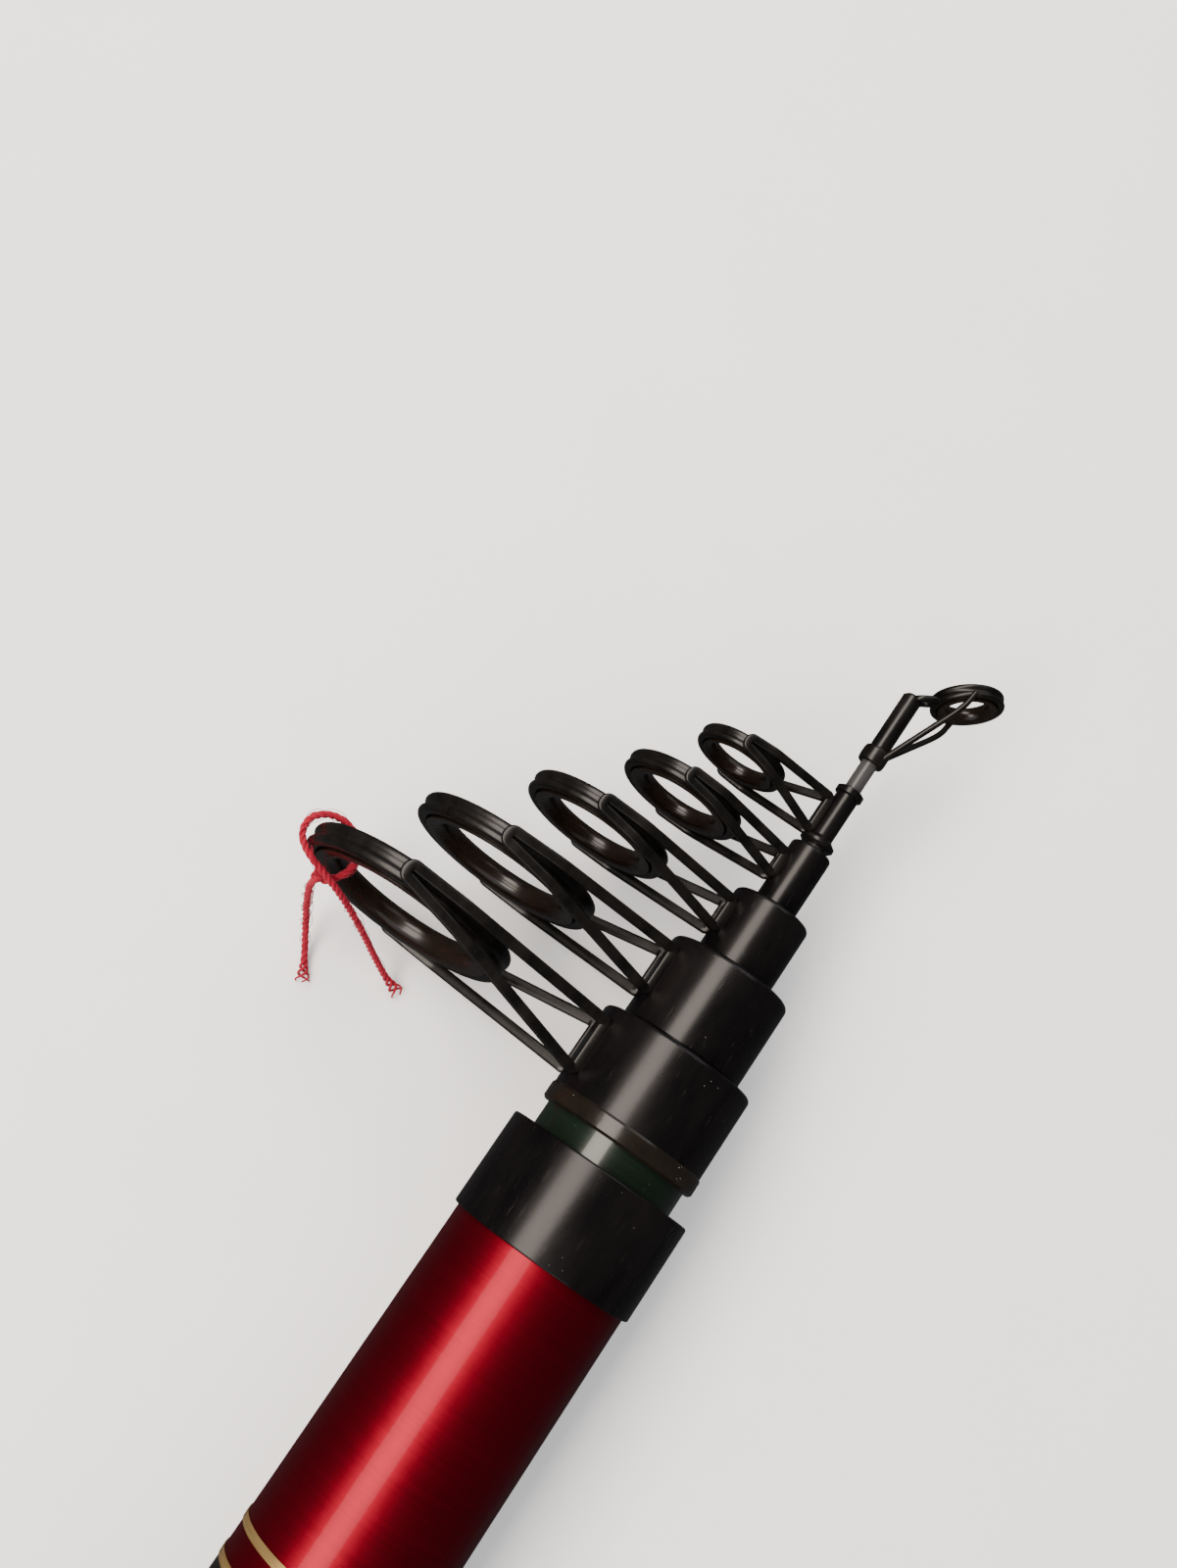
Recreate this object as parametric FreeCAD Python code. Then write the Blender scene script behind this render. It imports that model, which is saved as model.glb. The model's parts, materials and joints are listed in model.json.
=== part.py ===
"""Telescopic fishing rod, closed: a butt with handle and reel seat, four hollow sections that each carry a
line guide, and a solid tip with a floating guide and a tip-top.

+X runs along the rod towards the tip, +Y is the side of the guides and the reel foot, +Z is up.
The origin is the centre of the butt cap's end face. All sizes are in millimetres.
"""
import FreeCAD, Part
import math
import os
from FreeCAD import Placement, Rotation, Vector

os.makedirs("parts", exist_ok=True)

# Butt blank
MOUTH_X = 540.0
BUTT_REAR_X = 10.0
BUTT_MOUTH_R = 11.5
BUTT_TAPER = 0.0025
BUTT_WALL = 1.4
LIP = 0.8

# Mouth collar and trim
COLLAR_LENGTH = 12.4
COLLAR_R = 12.1
TRIM_RING_X = (483.2, 487.5)
TRIM_RING_WIDTH = 1.0
TRIM_RING_HEIGHT = 0.1

# Sections, from the thickest to the thinnest: where the sleeve starts and the section's mouth is (both
# measured from the butt's mouth), the blank's radii, its wall and its sleeve's radius
SECTION_BASE_X = 26.9
SECTIONS = {
    "section_1": dict(sleeve_x=3.1, mouth_x=16.5, base_r=10.07, mouth_r=9.55, wall=1.60, sleeve_r=10.25),
    "section_2": dict(sleeve_x=16.8, mouth_x=28.2, base_r=7.92, mouth_r=6.20, wall=1.20, sleeve_r=8.10),
    "section_3": dict(sleeve_x=28.5, mouth_x=37.5, base_r=4.97, mouth_r=3.90, wall=1.25, sleeve_r=5.15),
    "section_4": dict(sleeve_x=37.8, mouth_x=46.4, base_r=2.62, mouth_r=2.20, wall=0.75, sleeve_r=2.75),
}
SHOULDER = 0.2
EPOXY_LIP_LENGTH = 2.4
EPOXY_LIP_R = 10.45

# Guides: the ring's outer radius, its centre's distance from the rod's axis, its plane from the mouth, the
# angle, in degrees, by which use has bent it off square to the rod, its bore as a part of the outer radius,
# and how far its rear foot stands from the sleeve's rear end
GUIDES = {
    "section_1": dict(ring_r=14.2, offset=36.6, plane_x=12.3, bent=8.0, bore_part=0.68, rear_inset=4.2),
    "section_2": dict(ring_r=12.4, offset=30.0, plane_x=23.2, bent=4.5, bore_part=0.68, rear_inset=3.1),
    "section_3": dict(ring_r=9.75, offset=23.5, plane_x=33.4, bent=4.5, bore_part=0.64, rear_inset=2.5),
    "section_4": dict(ring_r=8.1, offset=17.1, plane_x=42.6, bent=4.5, bore_part=0.60, rear_inset=2.9),
    "floating": dict(ring_r=6.0, offset=13.7, plane_x=50.8, bent=4.5, bore_part=0.60, rear_inset=1.2),
}
FOOT_INSET_FRONT = 2.4
APEX_PART = 0.06
KNEE_PART = 0.45
KNEE_LAP = 0.25
CUT_MARGIN = 5.0

# Tip
TIP_BASE_R = 1.42
TIP_MIDDLE_X = 330.0
TIP_MIDDLE_R = 1.15
TIP_FRONT_R = 1.08
TIP_TUBE_X = (59.8, 70.5)
TIP_TUBE_R = 1.30
TIP_RING_R = 4.7
TIP_RING_BORE_R = 2.35
TIP_RING_OFFSET = 7.2
TIP_LEAN = 31.0
TIP_BENT = 12.0
NECK_HALF_WIDTH = 1.9
NECK_HOLE_R = 0.85
NECK_HOLE_Y = -1.75
BRACE_THICKNESS = 0.75
TIP_BAND_R = 1.75
TIP_BAND_LENGTH = 1.9
FLOATING_SLEEVE_X = (47.0, 55.6)
FLOATING_BORE_R = 1.20
FLOATING_R = 1.50
FLANGE_R = 2.3
TOP_COLLAR_R = 1.85

# Handle
GRIP_R = 16.4
REAR_GRIP_X = (BUTT_REAR_X, 150.0)
FORE_GRIP_X = (256.0, 372.0)
FORE_GRIP_NECK = 40.0
FORE_GRIP_FRONT_R = 13.4
CHECK_RING_R = 15.4
CHECK_RING_LENGTH = 3.0
SEAT_X = (153.0, 253.0)
SEAT_R = 14.2
THREAD_X = (213.0, 247.0)
THREAD_PITCH = 2.0
THREAD_DEPTH = 0.7
PLATFORM_X = (157.4, 210.0)
PLATFORM_HALF_WIDTH = 8.0
PLATFORM_TOP = 16.5
POCKET_HALF_WIDTH = 8.5
POCKET_TOP = 21.2
HOOD_HALF_WIDTH = 10.2
HOOD_TOP = 22.8
HOOD_WALL = 3.0
FIXED_HOOD_X = (153.6, 173.0)
SLIDING_HOOD_X = (211.0, 231.0)
NUT_X = (231.4, 243.0)
NUT_R = 16.2
NUT_FLUTES = 18
RUNNING_GAP = 0.08

# Butt cap
CAP_R = 15.6
CAP_FLANGE_LENGTH = 7.6
GASKET_X = (7.7, 9.9)
PLUG_R = 8.9
PLUG_END_X = 22.0
CAP_NOTCHES = 12

# Red thread tied round the rim of the largest ring: its route, x from the butt's mouth
THREAD_R = 0.45
THREAD_ROUTE = [
    (3.6, 31.7, -15.9),
    (4.0, 33.4, -15.4),
    (4.7, 35.1, -13.6),
    (5.6, 37.0, -10.8),
    (6.8, 39.3, -7.0),
    (7.9, 41.8, -3.0),
    (8.8, 44.3, 0.6),
    (9.5, 47.0, 2.0),
    (10.3, 49.7, 2.4),
    (11.6, 51.5, 2.6),
    (13.6, 51.9, 2.7),
    (15.3, 50.6, 2.2),
    (16.0, 48.6, 1.3),
    (15.5, 46.4, 0.6),
    (13.8, 44.7, 0.2),
    (11.5, 44.4, 0.0),
    (9.7, 45.4, -0.1),
    (8.8, 47.0, -0.3),
    (8.0, 47.8, -3.0),
    (7.0, 47.7, -6.4),
    (5.4, 47.1, -10.4),
    (3.2, 45.8, -13.8),
    (0.6, 44.1, -15.5),
    (-2.1, 42.5, -15.9),
]
KNOT_AT = (9.1, 46.9, 0.9)
KNOT_R = 1.15


def turned(profile):
    """A solid of revolution about the rod's axis, from (x, radius) corners."""
    corners = [Vector(x, radius, 0) for x, radius in profile + profile[:1]]
    return Part.Face(Part.makePolygon(corners)).revolve(Vector(0, 0, 0), Vector(1, 0, 0), 360)


def rounded(solid, x, radius, size):
    """The solid with its circular edge at x, of that radius, rounded."""
    edges = [e for e in solid.Edges if is_rim(e, x, radius)]
    return solid.makeFillet(size, edges)


def is_rim(edge, x, radius):
    if edge.Curve.TypeId != "Part::GeomCircle":
        return False
    return abs(edge.Curve.Center.x - x) < 0.01 and abs(edge.Curve.Radius - radius) < 0.01


def cylinder_x(x0, x1, radius):
    return Part.makeCylinder(radius, x1 - x0, Vector(x0, 0, 0), Vector(1, 0, 0))


def box(low, high):
    size = Vector(*high) - Vector(*low)
    return Part.makeBox(size.x, size.y, size.z, Vector(*low))


def strut(start, end, width, thickness):
    """A flat strip from start to end; its width lies along the rod as far as its slope allows."""
    start = Vector(*start)
    run = Vector(*end) - start
    along = Vector(run).normalize()
    across = (Vector(1, 0, 0) - along * along.x).normalize()
    flat = across.cross(along)
    strip = Part.makeBox(run.Length, thickness, width, Vector(0, -thickness / 2, -width / 2))
    matrix = FreeCAD.Matrix(along.x, flat.x, across.x, start.x,
                            along.y, flat.y, across.y, start.y,
                            along.z, flat.z, across.z, start.z)
    return strip.transformGeometry(matrix)


def save(shape, node):
    shape.exportStep("parts/" + node + ".step")
    print(node, "solids", len(shape.Solids), "volume", round(shape.Volume, 1), "valid", shape.isValid())


def butt_r(x):
    return BUTT_MOUTH_R + (MOUTH_X - x) * BUTT_TAPER


def on_butt(x0, x1, r0, r1):
    """A ring that fits the butt's taper from x0 to x1, with outer radii r0 and r1."""
    return turned([(x0, butt_r(x0)), (x0, r0), (x1, r1), (x1, butt_r(x1))])


def make_butt():
    end = MOUTH_X - LIP
    blank = turned([
        (BUTT_REAR_X, butt_r(BUTT_REAR_X) - BUTT_WALL), (BUTT_REAR_X, butt_r(BUTT_REAR_X)),
        (end, butt_r(end)), (end, butt_r(end) - BUTT_WALL),
    ])
    save(blank, "butt_blank")
    back = MOUTH_X - COLLAR_LENGTH
    collar = turned([
        (back, butt_r(back)), (back, COLLAR_R), (MOUTH_X, COLLAR_R),
        (MOUTH_X, BUTT_MOUTH_R - BUTT_WALL), (end, BUTT_MOUTH_R - BUTT_WALL), (end, butt_r(end)),
    ])
    collar = rounded(collar, back, COLLAR_R, 0.25)
    collar = rounded(collar, MOUTH_X, COLLAR_R, 0.35)
    save(collar, "mouth_collar")
    rings = []
    for x in TRIM_RING_X:
        low = x - TRIM_RING_WIDTH / 2
        high = x + TRIM_RING_WIDTH / 2
        rings.append(on_butt(low, high, butt_r(low) + TRIM_RING_HEIGHT, butt_r(high) + TRIM_RING_HEIGHT))
    save(Part.makeCompound(rings), "gold_trim_rings")


def make_grips():
    x0, x1 = REAR_GRIP_X
    rear = on_butt(x0, x1, GRIP_R, GRIP_R)
    rear = rounded(rear, x0, GRIP_R, 1.0)
    rear = rounded(rear, x1, GRIP_R, 1.0)
    save(rear, "rear_grip")
    x0, x1 = FORE_GRIP_X
    neck_x = x1 - FORE_GRIP_NECK
    fore = turned([(x0, butt_r(x0)), (x0, GRIP_R), (neck_x, GRIP_R), (x1, FORE_GRIP_FRONT_R), (x1, butt_r(x1))])
    fore = rounded(fore, x0, GRIP_R, 1.0)
    save(fore, "fore_grip")
    x0 = REAR_GRIP_X[1]
    save(on_butt(x0, x0 + CHECK_RING_LENGTH, CHECK_RING_R, CHECK_RING_R), "seat_rear_ring")
    x0 = SEAT_X[1]
    save(on_butt(x0, x0 + CHECK_RING_LENGTH, CHECK_RING_R, CHECK_RING_R), "seat_front_ring")
    x0 = FORE_GRIP_X[1]
    save(on_butt(x0, x0 + CHECK_RING_LENGTH, FORE_GRIP_FRONT_R, butt_r(x0) + 0.5), "fore_grip_ring")


def thread_profile():
    """The seat's outer line: plain, then a run of grooves one pitch apart, then plain again."""
    points = [(SEAT_X[0], SEAT_R)]
    x = THREAD_X[0]
    while x < THREAD_X[1]:
        points += [(x, SEAT_R), (x + THREAD_PITCH * 0.3, SEAT_R - THREAD_DEPTH)]
        points += [(x + THREAD_PITCH * 0.5, SEAT_R - THREAD_DEPTH), (x + THREAD_PITCH * 0.8, SEAT_R)]
        x += THREAD_PITCH
    return points + [(SEAT_X[1], SEAT_R)]


def make_seat():
    x0, x1 = SEAT_X
    body = turned([(x0, butt_r(x0))] + thread_profile() + [(x1, butt_r(x1))])
    platform = box((PLATFORM_X[0], 0, -PLATFORM_HALF_WIDTH), (PLATFORM_X[1], PLATFORM_TOP, PLATFORM_HALF_WIDTH))
    platform = platform.cut(cylinder_x(x0, x1, SEAT_R - 0.5))
    save(body.fuse(platform).removeSplitter(), "reel_seat_body")


def cowl(x0, x1):
    """The outside of a hood: a round band with a raised, rounded box on the side of the reel foot."""
    raised = box((x0, 0, -HOOD_HALF_WIDTH), (x1, HOOD_TOP, HOOD_HALF_WIDTH))
    top = [e for e in raised.Edges if abs(e.CenterOfMass.y - HOOD_TOP) < 0.01]
    raised = raised.makeFillet(2.6, top)
    return raised.fuse(cylinder_x(x0, x1, SEAT_R + 1.6)).removeSplitter()


def make_hoods():
    x0, x1 = FIXED_HOOD_X
    pocket = box((x0 + HOOD_WALL, 0, -POCKET_HALF_WIDTH), (x1 + CUT_MARGIN, POCKET_TOP, POCKET_HALF_WIDTH))
    hood = cowl(x0, x1).cut(pocket).cut(cylinder_x(x0 - CUT_MARGIN, x1 + CUT_MARGIN, SEAT_R))
    save(hood, "fixed_hood")
    x0, x1 = SLIDING_HOOD_X
    pocket = box((x0 - CUT_MARGIN, 0, -POCKET_HALF_WIDTH), (x1 - HOOD_WALL, POCKET_TOP, POCKET_HALF_WIDTH))
    bore = cylinder_x(x0 - CUT_MARGIN, x1 + CUT_MARGIN, SEAT_R + RUNNING_GAP)
    save(cowl(x0, x1).cut(pocket).cut(bore), "sliding_hood")


def make_lock_nut():
    x0, x1 = NUT_X
    bore_r = SEAT_R + RUNNING_GAP
    nut = turned([(x0, bore_r), (x0, NUT_R), (x1 - 2, NUT_R), (x1, NUT_R - 1.4), (x1, bore_r)])
    for step in range(NUT_FLUTES):
        angle = 2 * math.pi * step / NUT_FLUTES
        centre = Vector(x0 + 1.5, (NUT_R + 0.6) * math.cos(angle), (NUT_R + 0.6) * math.sin(angle))
        nut = nut.cut(Part.makeCylinder(1.3, x1 - x0, centre, Vector(1, 0, 0)))
    save(nut, "lock_nut")


def make_butt_cap():
    socket_r = PLUG_R + RUNNING_GAP
    x0 = BUTT_REAR_X
    bore_r = butt_r(x0) - BUTT_WALL
    x1 = x0 + 11.0
    socket = turned([(x0, socket_r), (x0, bore_r), (x1, butt_r(x1) - BUTT_WALL), (x1, socket_r)])
    save(socket, "cap_socket")
    gasket = turned([(GASKET_X[0], PLUG_R + 0.4), (GASKET_X[0], CAP_R - 0.8),
                     (GASKET_X[1], CAP_R - 0.8), (GASKET_X[1], PLUG_R + 0.4)])
    save(gasket, "cap_gasket")
    cap = turned([(0, 0), (0, CAP_R), (CAP_FLANGE_LENGTH, CAP_R), (CAP_FLANGE_LENGTH, PLUG_R),
                  (PLUG_END_X, PLUG_R), (PLUG_END_X, 0)])
    cap = rounded(cap, 0, CAP_R, 1.5)
    for step in range(CAP_NOTCHES):
        angle = 2 * math.pi * step / CAP_NOTCHES
        centre = Vector(2.2, (CAP_R + 1.0) * math.cos(angle), (CAP_R + 1.0) * math.sin(angle))
        cap = cap.cut(Part.makeCylinder(1.8, 4.0, centre, Vector(1, 0, 0)))
    save(cap, "butt_cap")
    save(turned([(PLUG_END_X, 0), (PLUG_END_X, 8.0), (PLUG_END_X + 2, 8.0), (PLUG_END_X + 2, 0)]), "cap_pad")


def make_section(name, sizes):
    """A hollow tapered blank and the sleeve that is bonded over its mouth and carries the guide."""
    mouth = MOUTH_X + sizes["mouth_x"]
    blank_end = mouth - LIP
    bore_r = sizes["mouth_r"] - sizes["wall"]
    blank = turned([
        (SECTION_BASE_X, sizes["base_r"] - sizes["wall"]), (SECTION_BASE_X, sizes["base_r"]),
        (blank_end, sizes["mouth_r"]), (blank_end, bore_r),
    ])
    save(blank, name + "_blank")
    start = MOUTH_X + sizes["sleeve_x"]
    taper = (sizes["base_r"] - sizes["mouth_r"]) / (blank_end - SECTION_BASE_X)
    seat_r = sizes["mouth_r"] + taper * (blank_end - start)
    sleeve = turned([
        (start, seat_r), (start, sizes["sleeve_r"]), (mouth, sizes["sleeve_r"]),
        (mouth, bore_r), (blank_end, bore_r), (blank_end, sizes["mouth_r"]),
    ])
    sleeve = rounded(sleeve, mouth, sizes["sleeve_r"], 0.25 + SHOULDER * (sizes["sleeve_r"] - bore_r))
    if name == "section_1":
        lip_end = start + EPOXY_LIP_LENGTH
        sleeve = sleeve.cut(cylinder_x(start - 1, lip_end, 2 * sizes["sleeve_r"]))
        lip = turned([(start, seat_r), (start, EPOXY_LIP_R - 0.3), (start + 0.3, EPOXY_LIP_R),
                      (lip_end - 0.3, EPOXY_LIP_R), (lip_end, sizes["sleeve_r"]),
                      (lip_end, sizes["mouth_r"] + taper * (blank_end - lip_end))])
        save(lip, name + "_epoxy_lip")
    save(sleeve, name + "_sleeve")


def hoop_sizes(ring_r):
    """The hoop's inner radius and half thickness, and the ceramic's half thickness."""
    inner = ring_r - (0.5 + 0.10 * ring_r)
    half = 0.6 + 0.06 * ring_r
    return inner, half, half + 0.15


def hoop(ring_r):
    """The guide's metal hoop: two ridges with a groove between them round the outside."""
    inner, half, _ = hoop_sizes(ring_r)
    chamfer = 0.25 * half
    groove = 0.22 * half
    return turned([
        (-half, inner), (-half, ring_r - chamfer), (-half + chamfer, ring_r), (-groove, ring_r),
        (0, ring_r - 2 * groove), (groove, ring_r), (half - chamfer, ring_r), (half, ring_r - chamfer),
        (half, inner),
    ])


def insert(outer_r, bore_r, half):
    """The ceramic ring: flat sides and a full round nose towards the line."""
    nose = min(half, outer_r - bore_r - 0.1)
    side = Vector(half, outer_r, 0)
    far_side = Vector(-half, outer_r, 0)
    top = Vector(half, bore_r + nose, 0)
    far_top = Vector(-half, bore_r + nose, 0)
    edges = [
        Part.LineSegment(far_side, side).toShape(),
        Part.LineSegment(side, top).toShape(),
        Part.Arc(top, Vector(0, bore_r, 0), far_top).toShape(),
        Part.LineSegment(far_top, far_side).toShape(),
    ]
    return Part.Face(Part.Wire(edges)).revolve(Vector(0, 0, 0), Vector(1, 0, 0), 360)


def sleeve_space(name, sizes):
    """All the space inside a section's sleeve, and inside the epoxy lip where it has one."""
    start = MOUTH_X + sizes["sleeve_x"]
    space = cylinder_x(start - 1, MOUTH_X + sizes["mouth_x"] + 1, sizes["sleeve_r"])
    if name == "section_1":
        space = space.fuse(cylinder_x(start - 1, start + EPOXY_LIP_LENGTH, EPOXY_LIP_R))
    return space


def leg(apex, knee, foot, width, sheet):
    """One arm of a guide's leg: from the bend at the hoop, over a knee, down to its foot."""
    knee = Vector(*knee)
    upper = (knee - Vector(*apex)).normalize()
    lower = (knee - Vector(*foot)).normalize()
    return [strut(apex, knee + upper * KNEE_LAP, width, sheet), strut(knee + lower * KNEE_LAP, foot, width, sheet)]


def make_guide(name, sizes, sleeve_r, rear_x, front_x, sleeve_solid):
    """A ring guide: a hoop with its ceramic, and at each side of it a flat strip folded into a narrow V, which
    wraps the hoop at the V's bend and stands on the sleeve with a foot at the end of each arm."""
    ring_r = sizes["ring_r"]
    offset = sizes["offset"]
    bent = math.radians(sizes["bent"])
    centre = Vector(MOUTH_X + sizes["plane_x"], offset, 0)
    stand = Placement(centre, Rotation(Vector(0, 1, 0), sizes["bent"]))
    inner, _, ceramic_half = hoop_sizes(ring_r)
    width = 0.85 + 0.04 * ring_r
    sheet = 0.75 + 0.03 * ring_r
    foot_xs = (rear_x + sizes["rear_inset"], front_x - FOOT_INSET_FRONT)
    foot_z = 0.42 * sleeve_r
    foot_y = math.sqrt(sleeve_r ** 2 - foot_z ** 2) + 0.25 * sheet
    apex_y = offset + APEX_PART * ring_r
    apex_z = ring_r + 0.45 * sheet
    knee_y = offset - KNEE_PART * ring_r
    knee_z = ring_r * math.sqrt(1 - KNEE_PART ** 2) + 0.6 * sheet
    knee_share = (apex_y - knee_y) / (apex_y - foot_y)
    frame = hoop(ring_r)
    frame.Placement = stand
    for side in (1, -1):
        middle_x = centre.x + side * apex_z * math.sin(bent)
        bend = Part.makeCylinder(0.97 * width, 1.06 * sheet, Vector(middle_x, apex_y, side * apex_z - 0.53 * sheet))
        frame = frame.fuse(bend)
        for foot_x, half_bend in zip(foot_xs, (-width / 2, width / 2)):
            apex = (middle_x + half_bend, apex_y, side * apex_z)
            knee = (apex[0] + (foot_x - apex[0]) * knee_share, knee_y, side * knee_z)
            frame = frame.fuse(leg(apex, knee, (foot_x, foot_y, side * foot_z), width, sheet))
        frame = frame.fuse(strut((foot_xs[0] - width / 2, foot_y, side * foot_z),
                                 (foot_xs[1] + width / 2, foot_y, side * foot_z * 1.001), sheet, sheet))
    frame = frame.cut(sleeve_solid)
    ceramic = insert(inner, sizes["bore_part"] * ring_r, ceramic_half)
    ceramic.Placement = stand
    ceramic_space = turned([(-ceramic_half - 1, 0), (-ceramic_half - 1, inner), (ceramic_half + 1, inner),
                            (ceramic_half + 1, 0)])
    ceramic_space.Placement = stand
    save(frame.cut(ceramic_space).removeSplitter(), name + "_guide_frame")
    save(ceramic, name + "_guide_ring")


def make_floating_guide():
    """A small sleeve with a flange at its rear and a collar in front, which slides on the tip, and its guide."""
    x0 = MOUTH_X + FLOATING_SLEEVE_X[0]
    x1 = MOUTH_X + FLOATING_SLEEVE_X[1]
    outline = [
        (x0, FLANGE_R - 0.3), (x0 + 0.3, FLANGE_R), (x0 + 0.7, FLANGE_R),
        (x0 + 1.4, FLOATING_R), (x1 - 1.1, FLOATING_R), (x1 - 0.9, TOP_COLLAR_R),
        (x1 - 0.2, TOP_COLLAR_R), (x1, TOP_COLLAR_R - 0.3),
    ]
    save(turned([(x0, FLOATING_BORE_R)] + outline + [(x1, FLOATING_BORE_R)]), "floating_guide_sleeve")
    make_guide("floating", GUIDES["floating"], FLOATING_R, x0, x1, turned([(x0, 0)] + outline + [(x1, 0)]))


def make_tip():
    front = MOUTH_X + TIP_TUBE_X[1] - 0.6
    tube_rear = MOUTH_X + TIP_TUBE_X[0]
    save(turned([(SECTION_BASE_X, 0), (SECTION_BASE_X, TIP_BASE_R), (TIP_MIDDLE_X, TIP_MIDDLE_R),
                 (tube_rear - 1, TIP_FRONT_R), (front, TIP_FRONT_R), (front, 0)]), "tip_blank")
    tube_front = MOUTH_X + TIP_TUBE_X[1]
    tube = turned([(tube_rear, TIP_FRONT_R), (tube_rear, TIP_TUBE_R), (tube_front - 0.4, TIP_TUBE_R),
                   (tube_front, TIP_TUBE_R - 0.4), (tube_front, 0), (front, 0), (front, TIP_FRONT_R)])
    save(tube, "tip_top_tube")
    make_tip_top(tube_rear, tube_front)


def make_tip_top(tube_rear, tube_front):
    """The tip-top: a leaning ring on a neck with a round hole, and two braces down to the tube's foot."""
    inner, half, ceramic_half = hoop_sizes(TIP_RING_R)
    lean = Placement(Vector(tube_front - 0.5, 0, 0), Rotation(Vector(0, 0, 1), TIP_LEAN))
    stand = lean.multiply(Placement(Vector(0, -TIP_RING_OFFSET, 0), Rotation(Vector(0, 1, 0), TIP_BENT)))
    ring = hoop(TIP_RING_R)
    ring.Placement = stand
    neck_end = -(TIP_RING_OFFSET - TIP_RING_R) - 1.0
    neck = box((-0.5 * half, neck_end, -NECK_HALF_WIDTH), (0.5 * half, 0.2, NECK_HALF_WIDTH))
    hole_start = Vector(-2 * half, NECK_HOLE_Y, 0)
    neck = neck.cut(Part.makeCylinder(NECK_HOLE_R, 4 * half, hole_start, Vector(1, 0, 0)))
    neck.Placement = lean
    space = turned([(-2, 0), (-2, inner), (2, inner), (2, 0)])
    space.Placement = stand
    frame = ring.fuse(neck).cut(space)
    for side in (1, -1):
        tab = stand.multVec(Vector(-0.3, 0.4, side * (TIP_RING_R - 0.3)))
        bend = tab + Vector(-2.6, 0.3, 0)
        foot = (tube_rear + 1.2, -0.9, side * 1.15)
        frame = frame.fuse([strut(tab, bend, BRACE_THICKNESS, BRACE_THICKNESS),
                            strut(bend, foot, BRACE_THICKNESS, BRACE_THICKNESS),
                            Part.makeSphere(0.6 * BRACE_THICKNESS, bend)])
    band_end = tube_rear + TIP_BAND_LENGTH
    band = turned([(tube_rear, TIP_TUBE_R), (tube_rear, TIP_BAND_R), (band_end, TIP_BAND_R),
                   (band_end + 0.4, TIP_TUBE_R)])
    frame = frame.fuse(band).cut(cylinder_x(tube_rear - 1, tube_front, TIP_TUBE_R))
    save(frame.removeSplitter(), "tip_top_frame")
    ceramic = insert(inner, TIP_RING_BORE_R, ceramic_half)
    ceramic.Placement = stand
    save(ceramic, "tip_top_ring")


def corner_arc(before, corner, after):
    """The arc that rounds one corner of a route, and its radius."""
    back = (before - corner)
    ahead = (after - corner)
    shorter = min(back.Length, ahead.Length)
    back.normalize()
    ahead.normalize()
    half_turn = (math.pi - back.getAngle(ahead)) / 2
    reach = 0.45 * shorter
    radius = reach / math.tan(half_turn)
    start = corner + back * reach
    end = corner + ahead * reach
    inward = (back + ahead).normalize()
    middle = corner + inward * (radius / math.cos(half_turn) - radius)
    return Part.Arc(start, middle, end), start, end, radius


def cord_tube(route, radius):
    """A tube along straight runs joined by tangent arcs."""
    points = [Vector(*point) for point in route]
    edges = []
    here = points[0]
    radii = []
    for before, corner, after in zip(points, points[1:], points[2:]):
        arc, start, end, bend = corner_arc(before, corner, after)
        edges.append(Part.LineSegment(here, start).toShape())
        edges.append(arc.toShape())
        radii.append(round(bend, 2))
        here = end
    edges.append(Part.LineSegment(here, points[-1]).toShape())
    path = Part.Wire(edges)
    first = (points[1] - points[0]).normalize()
    ring = Part.Wire(Part.makeCircle(radius, points[0], first))
    tube = path.makePipeShell([ring], True, True)
    print("thread length", round(path.Length, 2), "bend radii", radii)
    print("thread volume against section times length", tube.Volume / (math.pi * radius ** 2 * path.Length))
    return tube


def make_thread():
    route = [(MOUTH_X + x, y, z) for x, y, z in THREAD_ROUTE]
    save(cord_tube(route, THREAD_R), "red_thread")
    knot = Part.makeSphere(KNOT_R, Vector(MOUTH_X + KNOT_AT[0], KNOT_AT[1], KNOT_AT[2]))
    save(knot, "thread_knot")


make_butt()
make_grips()
make_seat()
make_hoods()
make_lock_nut()
make_butt_cap()
for section_name, section_sizes in SECTIONS.items():
    make_section(section_name, section_sizes)
    make_guide(section_name, GUIDES[section_name], section_sizes["sleeve_r"],
               MOUTH_X + section_sizes["sleeve_x"], MOUTH_X + section_sizes["mouth_x"],
               sleeve_space(section_name, section_sizes))
make_floating_guide()
make_tip()
make_thread()
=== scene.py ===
# %% [markdown]
# # A telescopic fishing rod, closed
# The design of this rod is already settled: its tubes, its guides, where each piece sits and how each
# slides. It comes in as a fixed frame, and nothing in that frame is moved here. This lesson gives the rod
# its looks: shapes that a lathe and a flat cutter can't make, such as bent strip legs and twisted yarn,
# and a finish for every piece. Every length below is in metres, and +X runs along the rod to its tip.

# %% Load the frame and keep its box
import json
import math

import bpy
import numpy as np
from mathutils import Matrix, Vector


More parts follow.
